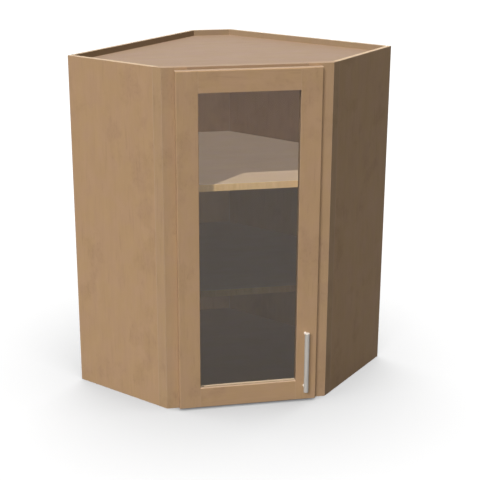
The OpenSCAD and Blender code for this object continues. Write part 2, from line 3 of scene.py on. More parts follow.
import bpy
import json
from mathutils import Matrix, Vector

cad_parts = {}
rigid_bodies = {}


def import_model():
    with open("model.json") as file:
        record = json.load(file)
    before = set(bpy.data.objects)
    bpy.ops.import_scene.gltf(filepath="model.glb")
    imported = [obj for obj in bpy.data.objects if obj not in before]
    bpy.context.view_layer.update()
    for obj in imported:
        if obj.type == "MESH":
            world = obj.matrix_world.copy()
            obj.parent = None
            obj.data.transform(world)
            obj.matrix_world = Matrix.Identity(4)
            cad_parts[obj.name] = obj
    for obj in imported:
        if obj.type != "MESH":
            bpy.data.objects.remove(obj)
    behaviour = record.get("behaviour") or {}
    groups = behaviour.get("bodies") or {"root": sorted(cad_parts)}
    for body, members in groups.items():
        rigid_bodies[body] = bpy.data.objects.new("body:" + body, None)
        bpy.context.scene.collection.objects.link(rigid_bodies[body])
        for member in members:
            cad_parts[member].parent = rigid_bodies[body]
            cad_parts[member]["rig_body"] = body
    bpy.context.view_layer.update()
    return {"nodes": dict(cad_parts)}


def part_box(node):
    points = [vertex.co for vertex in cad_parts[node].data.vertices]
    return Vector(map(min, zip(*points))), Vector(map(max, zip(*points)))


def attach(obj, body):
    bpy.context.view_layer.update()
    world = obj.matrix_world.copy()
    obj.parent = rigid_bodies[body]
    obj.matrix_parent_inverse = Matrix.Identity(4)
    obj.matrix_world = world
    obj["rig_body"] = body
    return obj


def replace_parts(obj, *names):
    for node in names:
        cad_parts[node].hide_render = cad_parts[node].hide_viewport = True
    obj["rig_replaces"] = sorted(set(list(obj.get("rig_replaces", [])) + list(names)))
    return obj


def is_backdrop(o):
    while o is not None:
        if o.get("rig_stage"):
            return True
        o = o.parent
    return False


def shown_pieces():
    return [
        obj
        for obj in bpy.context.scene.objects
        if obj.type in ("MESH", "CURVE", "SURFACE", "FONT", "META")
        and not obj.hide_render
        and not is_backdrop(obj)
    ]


bl_info = {
    "name": "Corner Wall Cabinet",
    "version": (1, 0, 0),
    "blender": (4, 5, 0),
    "location": "View3D > Sidebar > Cabinet",
    "description": "Finishes the parts of a diagonal corner wall cabinet and sets its stage",
    "category": "Object",
}

import json
import math

import bmesh
import bpy
from bpy.props import FloatProperty, FloatVectorProperty, PointerProperty
from mathutils import Vector

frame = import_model()
NODES = frame["nodes"]

# Attributes of a piece's mesh that its finish reads
SHIFT = "board_shift"
# The eased faces, which the finish lightens, partly as rubbing and partly as painted sheen
WEAR_AND_SHEEN = "edge_wear"

# Turns of the grain, which a finish draws along Z, for boards that lie along other lines
UPRIGHT = (0.0, 0.0, 0.0)
LEVEL = (0.0, math.radians(90), 0.0)
ALONG_LEFT_WALL = (math.radians(90), math.radians(-45), 0.0)
ALONG_RIGHT_WALL = (math.radians(90), math.radians(45), 0.0)

# The nodes on which the sun draws the outline of the door's opening, and those behind them
SHELVES = ("lower_shelf", "upper_shelf", "lower_shelf_edging", "upper_shelf_edging", "bottom_panel",
           "shelf_pins", "upright_glass_stops", "level_glass_stops")
LOW_SHELVES = ("lower_shelf", "lower_shelf_edging", "bottom_panel")
BACKS = ("left_back_panel", "right_back_panel", "corner_back_panel", "left_hanging_rail",
         "right_hanging_rail")

# How a copied node is cleaned, and how squarely a face looks along a line to count as facing it
MERGE_DISTANCE = 0.000002
FLAT_ANGLE = math.radians(0.3)
FACING = 0.7

# How far each board's grain lies from the next one's, and where it starts
GRAIN_STEP = Vector((0.31, 0.17, 0.73))
GRAIN_START = Vector((0.12, -0.09, 0.0))

# Where the lights stand, and their widths
TOWARD_SUN = (-0.452, -0.441, 0.775)
TOWARD_WINDOW = (-0.362, -0.777, 0.515)
BACKS_SUN_WIDTH = math.radians(8)
FILL_WIDTH = math.radians(3)
LIGHT_DISTANCE = 4.0
WHITE = (1.0, 1.0, 1.0)

# The floor's greys, as the camera sees it and as it lights the cabinet
FLOOR_PAINT = (0.1, 0.1, 0.1)
FLOOR_BOUNCE = (0.0134, 0.0134, 0.0134)

# The camera, as fitted to the corners of the cabinet
CAMERA_PLACE = (-0.49972, -2.87877, 1.39758)
CAMERA_TURN = (math.radians(72.495), 0.0, math.radians(-9.812))
CAMERA_SHIFT = (0.02265, -0.07575)
CAMERA_SENSOR = 36.0


def colour(name, description, value):
    return FloatVectorProperty(name=name, description=description, default=value, size=3, subtype="COLOR",
                               min=0.0, max=1.0)


def length(name, description, value):
    return FloatProperty(name=name, description=description, default=value, min=0.0, unit="LENGTH",
                         precision=5)


def light_strength(name, description, value):
    return FloatProperty(name=name, description=description, default=value, min=0.0)


def light_width(name, description, degrees):
    return FloatProperty(name=name, description=description, default=math.radians(degrees), min=0.0,
                         unit="ROTATION")


class CabinetWood(bpy.types.PropertyGroup):
    """Sizes and colours of the wooden parts"""

    board_ease: length("Board easing", "Width of the easing along the edges of a board", 0.0005)
    joint_ease: length("Joint easing", "Width of the easing along the joints of the door", 0.0002)
    outer_light: colour("Stained, light", "Light tone of the stained maple", (0.550, 0.376, 0.228))
    outer_dark: colour("Stained, dark", "Dark tone of the stained maple", (0.478, 0.324, 0.196))
    frame_light: colour("Face frame, light", "Light tone of the face frame", (0.525, 0.366, 0.226))
    frame_dark: colour("Face frame, dark", "Dark tone of the face frame", (0.456, 0.315, 0.194))
    # Darker tones painted as the shade that the door's edge throws on the rail over it
    rail_painted_shade_light: colour("Over the door, light", "Light tone of the rail over the door", (0.424, 0.301, 0.198))
    rail_painted_shade_dark: colour("Over the door, dark", "Dark tone of the rail over the door", (0.368, 0.259, 0.171))
    inner_light: colour("Natural, light", "Light tone of the natural maple", (0.452, 0.338, 0.252))
    inner_dark: colour("Natural, dark", "Dark tone of the natural maple", (0.398, 0.292, 0.216))
    edge_light: colour("Edging, light", "Light tone of the bare edges", (0.752, 0.505, 0.270))
    edge_dark: colour("Edging, dark", "Dark tone of the bare edges", (0.640, 0.408, 0.204))
    end_light: colour("Ends, light", "Light tone of the ends of the boards", (0.800, 0.650, 0.470))
    end_dark: colour("Ends, dark", "Dark tone of the ends of the boards", (0.700, 0.550, 0.390))
    # Dark tones painted as shade on the stops' edges that face into the opening
    shade_light: colour("Stops, light", "Light tone of the stops' edges by the glass", (0.210, 0.134, 0.086))
    shade_dark: colour("Stops, dark", "Dark tone of the stops' edges by the glass", (0.180, 0.114, 0.072))
    # Darker tones painted as shade on the inward faces of the backs over the top panel
    rim_light: colour("Rim, light", "Light tone of the raw backs over the top panel", (0.385, 0.292, 0.197))
    rim_dark: colour("Rim, dark", "Dark tone of the raw backs over the top panel", (0.345, 0.262, 0.178))
    # The tone of rubbed edges and dusty tops, made lighter also as a painted sheen of the light on them
    worn_and_sheen: colour("Worn edges", "Tone of worn edges and dusty tops", (0.590, 0.460, 0.345))


class CabinetFittings(bpy.types.PropertyGroup):
    """Sizes and colours of the metal, glass and rubber parts"""

    metal_ease: length("Metal easing", "Width of the easing on the edges of the metal parts", 0.00025)
    dome: length("Bumper dome", "Height of the rounded rim of a bumper", 0.0012)
    nickel: colour("Pull", "Satin nickel of the pull", (0.580, 0.572, 0.545))
    # Near-white nickel, part buffed ends and part a painted highlight of the light on the posts and ends
    bright: colour("Pull, bright", "Nickel of the posts and of the ends of the bar", (0.900, 0.885, 0.850))
    plating: colour("Hinges", "Nickel plating of the hinges", (0.600, 0.590, 0.570))
    zinc: colour("Screws", "Zinc plating of the screws and shelf pins", (0.560, 0.565, 0.560))
    # A brown rubber seal, made darker as painted shade along the opening's edges
    rubber: colour("Seal", "Brown rubber of the glass seal", (0.100, 0.069, 0.049))
    glass: colour("Glass", "Tint of the glass", (0.960, 0.985, 0.970))
    bumper: colour("Bumpers", "Soft plastic of the bumpers", (0.800, 0.820, 0.810))


class CabinetStage(bpy.types.PropertyGroup):
    """Lights, floor and camera"""

    sun: light_strength("Sun", "Strength of the sharp sun on the shelves", 2.85)
    sun_colour: colour("Sun colour", "Colour of the sun", (1.0, 0.910, 0.825))
    sun_width: light_width("Sun width", "Width of the sun on the shelves", 0.3)
    backs_sun: light_strength("Sun on the backs", "Strength of the sun on the rims of the backs", 3.4)
    outside_sun: light_strength("Outside sun", "Strength of the shadowless sun on the outside", 1.59)
    sky_strength: light_strength("Sky", "Grey of the sky, as it lights the cabinet", 0.04)
    window: light_strength("Window", "Strength of the soft light in front of the outside", 1.48)
    window_colour: colour("Window colour", "Colour of the soft light", (1.0, 0.940, 0.895))
    window_width: light_width("Window width", "Width of the soft light in front of the outside", 19)
    shelves_above: light_strength("Shelves, above", "Shadowless light from above on the shelves", 1.36)
    low_shelves_above: light_strength("Low shelves, above", "More light on the lower shelf and bottom", 0.19)
    shelves_front: light_strength("Shelves, front", "Shadowless light in front on the shelves", 0.66)
    backs_above: light_strength("Backs, above", "Shadowless light from above on the backs", 0.2)
    backs_front: light_strength("Backs, front", "Shadowless light in front on the backs", 0.22)
    backs_behind: light_strength("Backs, behind", "Shadowless light from behind on the backs", 0.7)
    outside_above: light_strength("Outside, above", "Shadowless light from above on the outside", 1.0)
    top_above: light_strength("Top, above", "Shadowless light from above on the top panel", 2.92)
    all_behind: light_strength("Behind", "Shadowless light from behind on all pieces", 0.5)
    all_below: light_strength("Below", "Shadowless light from below on all pieces", 0.3)
    floor_light: light_strength("Floor light", "Strength of the soft light on the floor alone", 31.2)
    floor_width: light_width("Floor light width", "Width of the soft light on the floor", 150)
    floor_glow: light_strength("Floor glow", "Light that the floor keeps in the shadow", 0.14)
    floor_size: length("Floor", "Width of the floor", 60.0)
    lens: FloatProperty(name="Lens", description="Focal length of the camera in millimetres", default=82.326,
                        min=1.0)


class Wiring:
    """Adds the nodes of a material or of a node group and joins them"""

    def __init__(self, tree):
        self.tree = tree

    def add(self, kind, settings=None, **inputs):
        node = self.tree.nodes.new(kind)
        node.location = (200 * len(self.tree.nodes), 0)
        for name, value in (settings or {}).items():
            setattr(node, name, value)
        for name, value in inputs.items():
            self.join(value, node.inputs[name.replace("_", " ")])
        return node

    def join(self, value, socket):
        if isinstance(value, bpy.types.NodeSocket):
            self.tree.links.new(value, socket)
        else:
            socket.default_value = value

    def math(self, operation, a, b=0.0, clamp=False):
        node = self.add("ShaderNodeMath", {"operation": operation, "use_clamp": clamp})
        self.join(a, node.inputs[0])
        self.join(b, node.inputs[1])
        return node.outputs[0]

    def vector(self, operation, a, b):
        node = self.add("ShaderNodeVectorMath", {"operation": operation})
        self.join(a, node.inputs[0])
        self.join(b, node.inputs[1])
        return node.outputs[0]

    def mix(self, factor, a, b, blend="MIX"):
        node = self.add("ShaderNodeMix", {"data_type": "RGBA", "blend_type": blend})
        self.join(factor, node.inputs[0])
        self.join(a, node.inputs[6])
        self.join(b, node.inputs[7])
        return node.outputs[2]

    def span(self, value, low, high, to_low=0.0, to_high=1.0):
        node = self.add("ShaderNodeMapRange", {"clamp": True}, Value=value, From_Min=low, From_Max=high,
                        To_Min=to_low, To_Max=to_high)
        return node.outputs["Result"]

    def noise(self, place, stretch, scale, detail=2.0, roughness=0.5):
        """Noise of that many spots to a metre, drawn out where a stretch is below 1."""
        drawn = self.add("ShaderNodeMapping", Vector=place, Scale=stretch).outputs["Vector"]
        made = self.add("ShaderNodeTexNoise", Vector=drawn, Scale=scale, Detail=detail, Roughness=roughness)
        return made.outputs["Fac"]

    def about_middle(self, value, gain):
        return self.math("MULTIPLY", self.math("SUBTRACT", value, 0.5), gain)

    def total(self, *values):
        result = values[0]
        for value in values[1:]:
            result = self.math("ADD", result, value)
        return result

    def group(self, tree, **inputs):
        return self.add("ShaderNodeGroup", {"node_tree": tree}, **inputs)


def rgba(value):
    return (*value, 1.0)


def new_group(name, inputs, outputs):
    """A shader node group, with its inputs and outputs given as (name, kind, default)."""
    tree = bpy.data.node_groups.new(name, "ShaderNodeTree")
    for socket_name, kind, default in inputs:
        socket = tree.interface.new_socket(socket_name, in_out="INPUT", socket_type="NodeSocket" + kind)
        if default is not None:
            socket.default_value = default
    for socket_name, kind in outputs:
        tree.interface.new_socket(socket_name, in_out="OUTPUT", socket_type="NodeSocket" + kind)
    wiring = Wiring(tree)
    given = wiring.add("NodeGroupInput").outputs
    result = wiring.add("NodeGroupOutput").inputs
    return wiring, given, result


def maple_grain():
    """Maple with its grain along Z: streaks, clouds, darker islands with flecks in them, and fine lines."""
    name = "maple_grain"
    if name in bpy.data.node_groups:
        return bpy.data.node_groups[name]
    w, given, result = new_group(
        name,
        [("Vector", "Vector", None), ("Light", "Color", None), ("Dark", "Color", None),
         ("Streaks", "Float", 0.3), ("Clouds", "Float", 0.4), ("Islands", "Float", 0.35),
         ("Lines", "Float", 0.4), ("Wear", "Float", 0.0), ("Worn", "Color", None)],
        [("Color", "Color"), ("Roughness", "Float"), ("Height", "Float")])
    place = given["Vector"]
    lie = w.add("ShaderNodeMapping", Vector=place, Scale=(1.0, 1.0, 0.3)).outputs["Vector"]
    wander = w.add("ShaderNodeTexNoise", Vector=lie, Scale=5.0, Detail=2.0).outputs["Color"]
    drift = w.vector("MULTIPLY", w.vector("SUBTRACT", wander, (0.5, 0.5, 0.5)), (0.06, 0.06, 0.0))
    bent = w.vector("ADD", place, drift)
    streaks = w.noise(bent, (1.0, 1.0, 0.09), 70.0, 3.0, 0.6)
    fibres = w.noise(bent, (1.0, 1.0, 0.03), 480.0, 2.0, 0.6)
    clouds = w.noise(place, (1.0, 1.0, 0.6), 22.0, 3.0, 0.6)
    islands = w.span(w.noise(place, (1.0, 1.0, 0.75), 11.0, 4.0, 0.6), 0.54, 0.61)
    specks = w.span(w.noise(place, (1.0, 1.0, 0.6), 170.0, 2.0), 0.54, 0.66)
    strays = w.span(w.noise(place, (1.0, 1.0, 0.7), 60.0, 2.0), 0.66, 0.74)
    lines = w.span(w.noise(bent, (1.0, 1.0, 0.055), 170.0, 1.0), 0.63, 0.72)
    pores = w.span(w.noise(bent, (1.0, 1.0, 0.07), 900.0, 1.0), 0.6, 0.72)
    flecks = w.math("MULTIPLY", specks, w.math("MAXIMUM", islands, strays))
    drawn = w.total(w.about_middle(streaks, 2.2), w.about_middle(fibres, 1.6))
    tone = w.total(
        0.35,
        w.math("MULTIPLY", drawn, given["Streaks"]),
        w.math("MULTIPLY", w.about_middle(clouds, 2.0), given["Clouds"]),
        w.math("MULTIPLY", w.total(islands, flecks), given["Islands"]),
        w.math("MULTIPLY", w.total(lines, w.math("MULTIPLY", pores, 0.3)), given["Lines"]))
    tone = w.math("MINIMUM", w.math("MAXIMUM", tone, -0.4), 1.8)
    wood = w.add("ShaderNodeMix", {"data_type": "RGBA", "clamp_factor": False})
    w.join(tone, wood.inputs[0])
    w.join(given["Light"], wood.inputs[6])
    w.join(given["Dark"], wood.inputs[7])
    hue = w.span(w.noise(place, (1.0, 1.0, 0.7), 24.0, 3.0, 0.55), 0.38, 0.62)
    tint = w.mix(hue, (1.0, 1.004, 0.970, 1.0), (1.0, 0.996, 1.030, 1.0))
    wood = w.mix(1.0, wood.outputs[2], tint, "MULTIPLY")
    w.join(w.mix(given["Wear"], wood, given["Worn"]), result["Color"])
    w.join(w.span(tone, 0.0, 1.0, 0.44, 0.54), result["Roughness"])
    w.join(w.total(w.math("MULTIPLY", fibres, 0.5), w.math("MULTIPLY", pores, -0.6)), result["Height"])
    return bpy.data.node_groups[name]


def worked_metal():
    """Metal rubbed along Z: fine scratches over faint clouds, and brighter edges."""
    name = "worked_metal"
    if name in bpy.data.node_groups:
        return bpy.data.node_groups[name]
    w, given, result = new_group(
        name,
        [("Vector", "Vector", None), ("Metal", "Color", None), ("Scratches", "Float", 0.5),
         ("Dull", "Float", 0.3), ("Wear", "Float", 0.0)],
        [("Color", "Color"), ("Roughness", "Float"), ("Height", "Float")])
    place = given["Vector"]
    scratches = w.noise(place, (1.0, 1.0, 0.02), 3000.0, 2.0, 0.6)
    clouds = w.noise(place, (1.0, 1.0, 0.5), 60.0, 3.0)
    rubbed = w.math("MULTIPLY", w.about_middle(scratches, 0.5), given["Scratches"])
    light = w.total(rubbed, w.span(clouds, 0.3, 0.7, 0.95, 1.05), w.math("MULTIPLY", given["Wear"], 0.08))
    w.join(w.vector("MULTIPLY", given["Metal"], light), result["Color"])
    w.join(w.total(given["Dull"], w.about_middle(clouds, 0.16), rubbed), result["Roughness"])
    w.join(scratches, result["Height"])
    return bpy.data.node_groups[name]


def handling_marks():
    """Faint smears and specks, as on glass, rubber and plastic that have been touched."""
    name = "handling_marks"
    if name in bpy.data.node_groups:
        return bpy.data.node_groups[name]
    w, given, result = new_group(
        name,
        [("Vector", "Vector", None), ("Clean", "Float", 0.0), ("Smeared", "Float", 0.1)],
        [("Mask", "Float"), ("Roughness", "Float"), ("Height", "Float")])
    place = given["Vector"]
    smears = w.span(w.noise(place, (1.0, 1.0, 0.5), 9.0, 4.0, 0.6), 0.5, 0.75)
    specks = w.span(w.noise(place, (1.0, 1.0, 1.0), 420.0, 2.0), 0.62, 0.75)
    mask = w.math("ADD", w.math("MULTIPLY", smears, 0.7), w.math("MULTIPLY", specks, 0.3), clamp=True)
    w.join(mask, result["Mask"])
    w.join(w.span(mask, 0.0, 1.0, given["Clean"], given["Smeared"]), result["Roughness"])
    w.join(w.noise(place, (1.0, 1.0, 1.0), 900.0, 2.0), result["Height"])
    return bpy.data.node_groups[name]


def new_finish(name):
    """A new material with a Principled shader on its output."""
    made = bpy.data.materials.new(name)
    made.use_nodes = True
    made.node_tree.nodes.clear()
    w = Wiring(made.node_tree)
    shader = w.add("ShaderNodeBsdfPrincipled")
    output = w.add("ShaderNodeOutputMaterial")
    w.join(shader.outputs["BSDF"], output.inputs["Surface"])
    return made, w, shader, output


def bump(w, shader, height, strength, distance):
    made = w.add("ShaderNodeBump", Strength=strength, Distance=distance, Height=height)
    w.join(made.outputs["Normal"], shader.inputs["Normal"])


def board_place(w, turn=UPRIGHT):
    """Places on a board, moved by its own shift and turned so that its grain lies along Z."""
    place = w.add("ShaderNodeTexCoord").outputs["Object"]
    shift = w.add("ShaderNodeAttribute", {"attribute_name": SHIFT}).outputs["Vector"]
    return w.add("ShaderNodeMapping", Vector=w.vector("ADD", place, shift), Rotation=turn).outputs["Vector"]


# The eased faces, where the wood is lightened by rubbing and by a painted sheen
def worn_and_sheen(w):
    return w.add("ShaderNodeAttribute", {"attribute_name": WEAR_AND_SHEEN}).outputs["Fac"]


def facing_up(w):
    """1 on the faces that look straight up, lightened as dusty tops and as painted sheen from above."""
    normal = w.add("ShaderNodeTexCoord").outputs["Normal"]
    return w.span(w.add("ShaderNodeSeparateXYZ", Vector=normal).outputs["Z"], 0.8, 0.95)


def maple(name, light, dark, turn=UPRIGHT, streaks=0.3, clouds=0.4, islands=0.35, lines=0.4, gloss=0.04,
          dust_and_sheen=0.0):
    """Maple in two tones, its rubbed edges and, given an upward share, its tops lighter: partly painted
    sheen.
    """
    if name in bpy.data.materials:
        return bpy.data.materials[name]
    made, w, shader, output = new_finish(name)
    # The edges and upward faces turn lighter partly as real rubbing and dustiness, partly as painted sheen
    rubbed = w.math("MULTIPLY", worn_and_sheen(w), 0.8)
    wear_and_sheen = w.math("MAXIMUM", rubbed, w.math("MULTIPLY", facing_up(w), dust_and_sheen))
    grain = w.group(maple_grain(), Vector=board_place(w, turn), Light=rgba(light), Dark=rgba(dark),
                    Streaks=streaks, Clouds=clouds, Islands=islands, Lines=lines, Wear=wear_and_sheen,
                    Worn=rgba(bpy.context.scene.cabinet_wood.worn_and_sheen)).outputs
    shader.inputs["Specular IOR Level"].default_value = gloss
    w.join(grain["Color"], shader.inputs["Base Color"])
    w.join(grain["Roughness"], shader.inputs["Roughness"])
    bump(w, shader, grain["Height"], strength=0.35, distance=0.0002)
    return made


def stained(along, turn):
    wood = bpy.context.scene.cabinet_wood
    return maple("stained_maple_" + along, wood.outer_light, wood.outer_dark, turn, dust_and_sheen=0.85)


def frame_wood(along, turn):
    wood = bpy.context.scene.cabinet_wood
    return maple("frame_maple_" + along, wood.frame_light, wood.frame_dark, turn, dust_and_sheen=0.5)


def over_door():
    """The rail over the door, darkened with painted shade where the door's edge keeps the light off it."""
    wood = bpy.context.scene.cabinet_wood
    return maple("shaded_maple_rail", wood.rail_painted_shade_light, wood.rail_painted_shade_dark, LEVEL, dust_and_sheen=0.5)


def natural(along, turn):
    wood = bpy.context.scene.cabinet_wood
    return maple("natural_maple_" + along, wood.inner_light, wood.inner_dark, turn, clouds=0.25, islands=0.06,
                 lines=0.15, gloss=0.05)


def bare_edge():
    """The edging of the boards, whose grain shows as short upright ticks."""
    wood = bpy.context.scene.cabinet_wood
    return maple("bare_maple_edge", wood.edge_light, wood.edge_dark, streaks=0.8, clouds=0.3, islands=0.1)


def board_end():
    """The ends of the side panels and the backs, which show as a pale rim round the top."""
    wood = bpy.context.scene.cabinet_wood
    return maple("maple_board_end", wood.end_light, wood.end_dark, streaks=0.5, clouds=0.3, islands=0.1)


def stop_edge_painted_shade():
    """The edges of the upright stops, darkened with painted shade where the opening's edge lies in shadow."""
    wood = bpy.context.scene.cabinet_wood
    return maple("shaded_stop_edge", wood.shade_light, wood.shade_dark, islands=0.1)


def painted_shade_rim():
    """The inward faces of the backs over the top panel, darkened with painted shade."""
    wood = bpy.context.scene.cabinet_wood
    return maple("raw_maple_rim", wood.rim_light, wood.rim_dark, islands=0.1)


def metal(name, base, turn=UPRIGHT, scratches=0.4, dull=0.3, metallic=1.0, gloss=0.5):
    if name in bpy.data.materials:
        return bpy.data.materials[name]
    made, w, shader, output = new_finish(name)
    marks = w.group(worked_metal(), Vector=board_place(w, turn), Metal=rgba(base), Scratches=scratches,
                    Dull=dull, Wear=worn_and_sheen(w)).outputs
    shader.inputs["Metallic"].default_value = metallic
    shader.inputs["Specular IOR Level"].default_value = gloss
    w.join(marks["Color"], shader.inputs["Base Color"])
    w.join(marks["Roughness"], shader.inputs["Roughness"])
    bump(w, shader, marks["Height"], strength=0.25, distance=0.00005)
    return made


def satin_nickel():
    return metal("satin_nickel", bpy.context.scene.cabinet_fittings.nickel, scratches=0.5, dull=0.4,
                 metallic=0.1, gloss=0.4)


# The posts and the bar's ends: part buffed nickel, part painted highlight
def bright_nickel():
    return metal("bright_nickel", bpy.context.scene.cabinet_fittings.bright, scratches=0.2, dull=0.34,
                 metallic=0.1, gloss=0.5)


def nickel_plating():
    return metal("nickel_plating", bpy.context.scene.cabinet_fittings.plating, LEVEL, dull=0.26)


def zinc_plating():
    return metal("zinc_plating", bpy.context.scene.cabinet_fittings.zinc, scratches=0.3, dull=0.36)


def sheet_glass():
    """Clear glass that lets the sun and the sky through to the shelves."""
    name = "sheet_glass"
    if name in bpy.data.materials:
        return bpy.data.materials[name]
    made, w, shader, output = new_finish(name)
    place = w.add("ShaderNodeTexCoord").outputs["Object"]
    marks = w.group(handling_marks(), Vector=place, Clean=0.0, Smeared=0.03).outputs
    tint = bpy.context.scene.cabinet_fittings.glass
    w.join(w.mix(marks["Mask"], rgba(tint), (0.93, 0.95, 0.94, 1.0)), shader.inputs["Base Color"])
    w.join(marks["Roughness"], shader.inputs["Roughness"])
    shader.inputs["Transmission Weight"].default_value = 1.0
    shader.inputs["IOR"].default_value = 1.36
    clear = w.add("ShaderNodeBsdfTransparent", Color=rgba(tint))
    path = w.add("ShaderNodeLightPath").outputs
    unseen = w.math("MAXIMUM", path["Is Shadow Ray"], path["Is Diffuse Ray"])
    both = w.add("ShaderNodeMixShader")
    w.join(unseen, both.inputs[0])
    w.join(shader.outputs["BSDF"], both.inputs[1])
    w.join(clear.outputs["BSDF"], both.inputs[2])
    w.join(both.outputs["Shader"], output.inputs["Surface"])
    return made


def soft_plastic(name, base, clean, smeared, clearness=0.0):
    """Rubber or soft plastic with a fine skin and faint smears."""
    if name in bpy.data.materials:
        return bpy.data.materials[name]
    made, w, shader, output = new_finish(name)
    place = w.add("ShaderNodeTexCoord").outputs["Object"]
    marks = w.group(handling_marks(), Vector=place, Clean=clean, Smeared=smeared).outputs
    smeared_base = tuple(min(1.0, value * 1.15 + 0.01) for value in base)
    w.join(w.mix(marks["Mask"], rgba(base), rgba(smeared_base)), shader.inputs["Base Color"])
    w.join(marks["Roughness"], shader.inputs["Roughness"])
    shader.inputs["Transmission Weight"].default_value = clearness
    bump(w, shader, marks["Height"], strength=0.2, distance=0.0001)
    return made


# The seal's brown is darkened as painted shade of the opening's edges
def seal_rubber():
    return soft_plastic("seal_rubber", bpy.context.scene.cabinet_fittings.rubber, 0.7, 0.5)


def bumper_plastic():
    return soft_plastic("bumper_plastic", bpy.context.scene.cabinet_fittings.bumper, 0.2, 0.35, clearness=0.6)


def only(piece):
    """Selects one object and makes it the active one."""
    bpy.ops.object.select_all(action="DESELECT")
    piece.select_set(True)
    bpy.context.view_layer.objects.active = piece


def copy_of(node):
    """A new object with a copy of a node's mesh, with its loose triangles merged into clean faces."""
    piece = bpy.data.objects.new(node + "_finished", NODES[node].data.copy())
    bpy.context.scene.collection.objects.link(piece)
    only(piece)
    bpy.ops.object.mode_set(mode="EDIT")
    bpy.ops.mesh.select_all(action="SELECT")
    bpy.ops.mesh.customdata_custom_splitnormals_clear()
    bpy.ops.mesh.remove_doubles(threshold=MERGE_DISTANCE)
    bpy.ops.mesh.dissolve_limited(angle_limit=FLAT_ANGLE)
    bpy.ops.mesh.select_all(action="DESELECT")
    bpy.ops.object.mode_set(mode="OBJECT")
    return piece


def cut_level(piece, height):
    """Cuts a piece's faces at a height, so that those over it can have a finish of their own."""
    only(piece)
    bpy.ops.object.mode_set(mode="EDIT")
    bpy.ops.mesh.select_all(action="SELECT")
    bpy.ops.mesh.bisect(plane_co=(0.0, 0.0, height), plane_no=(0.0, 0.0, 1.0))
    bpy.ops.mesh.select_all(action="DESELECT")
    bpy.ops.object.mode_set(mode="OBJECT")


def ease(piece, width, segments=3, shortest=0.01, sharpest=math.radians(25)):
    """Rounds a piece's long outward edges and marks the new faces, which take the second slot, for painted
    sheen and rubbing.
    """
    piece.data.materials.clear()
    for slot in range(2):
        piece.data.materials.append(None)
    only(piece)
    bpy.ops.object.mode_set(mode="EDIT")
    bpy.ops.mesh.select_mode(type="EDGE")
    bpy.ops.mesh.select_all(action="DESELECT")
    mesh = bmesh.from_edit_mesh(piece.data)
    for edge in mesh.edges:
        long_enough = edge.calc_length() > shortest
        edge.select = long_enough and edge.is_convex and edge.calc_face_angle(0.0) > sharpest
    bmesh.update_edit_mesh(piece.data)
    bpy.ops.mesh.bevel(offset=width, segments=segments, affect="EDGES", clamp_overlap=False, material=1)
    mesh = bmesh.from_edit_mesh(piece.data)
    wear_and_sheen = mesh.faces.layers.float.new(WEAR_AND_SHEEN)
    for face in mesh.faces:
        face[wear_and_sheen] = float(face.material_index == 1)
    bmesh.update_edit_mesh(piece.data)
    bpy.ops.mesh.select_all(action="DESELECT")
    bpy.ops.object.mode_set(mode="OBJECT")


def smooth(piece, angle=math.radians(40)):
    """Smooth shading that leaves the flat faces flat."""
    only(piece)
    bpy.ops.object.shade_smooth_by_angle(angle=angle)
    even = piece.modifiers.new("even_normals", "WEIGHTED_NORMAL")
    even.keep_sharp = True
    bpy.ops.object.modifier_apply(modifier=even.name)


def dress(piece, *materials):
    """Gives a piece its materials, the first of them on all its faces."""
    piece.data.materials.clear()
    for material in materials:
        piece.data.materials.append(material)
    for face in piece.data.polygons:
        face.material_index = 0


def move_grain(piece, number):
    """Shifts the pattern on a piece, so that no two boards come from the same place in the tree."""
    shift = tuple(GRAIN_STEP * number + GRAIN_START)
    layer = piece.data.attributes.new(SHIFT, "FLOAT_VECTOR", "POINT")
    layer.data.foreach_set("vector", shift * len(piece.data.vertices))


def stand_for(piece, node):
    """The piece is shown in a node's place, moves with its body and takes its slot."""
    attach(piece, NODES[node]["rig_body"])
    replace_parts(piece, node)


def finished(node, ease_width, *materials, cut=None, **easing):
    """A node's piece with eased edges and its finish, and with its faces cut at a height if one is given."""
    piece = copy_of(node)
    if cut is not None:
        cut_level(piece, cut)
    ease(piece, ease_width, **easing)
    dress(piece, *materials)
    move_grain(piece, list(NODES).index(node))
    smooth(piece)
    stand_for(piece, node)
    return piece


def show_bare_ends(piece):
    """Gives the second material to the faces that look straight up or down."""
    for face in piece.data.polygons:
        if abs(face.normal.z) > FACING:
            face.material_index = 1


def show_stop_edges(piece):
    """Gives the second material, a painted shade, to the faces that look sideways into the opening."""
    for face in piece.data.polygons:
        if abs(face.normal.x) > FACING:
            face.material_index = 1


def show_painted_shade_rim(piece, height):
    """Gives the third material, a painted shade, to the inward faces over a height."""
    for face in piece.data.polygons:
        inward = face.normal.xy.dot(face.center.xy) < 0
        if inward and face.center.z > height and face.material_index == 0:
            face.material_index = 2


class CabinetOperator(bpy.types.Operator):
    bl_options = {"REGISTER", "UNDO"}


class CABINET_OT_carcass(CabinetOperator):
    """Finish the side panels, the back panels, the top and bottom panels and the hanging rails"""
    bl_idname = "cabinet.carcass"
    bl_label = "Carcass"

    def execute(self, context):
        width = context.scene.cabinet_wood.board_ease
        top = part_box("top_panel")[1].z
        for node in ("left_side_panel", "right_side_panel", "left_back_panel", "right_back_panel",
                     "corner_back_panel"):
            # The inward faces of the backs over the top panel take a painted shade
            piece = finished(node, width, stained("upright", UPRIGHT), board_end(), painted_shade_rim(), cut=top)
            show_bare_ends(piece)
            show_painted_shade_rim(piece, top)
        for node in ("top_panel", "bottom_panel"):
            finished(node, width, natural("level", LEVEL))
        finished("left_hanging_rail", width, natural("along_left_wall", ALONG_LEFT_WALL))
        finished("right_hanging_rail", width, natural("along_right_wall", ALONG_RIGHT_WALL))
        return {"FINISHED"}


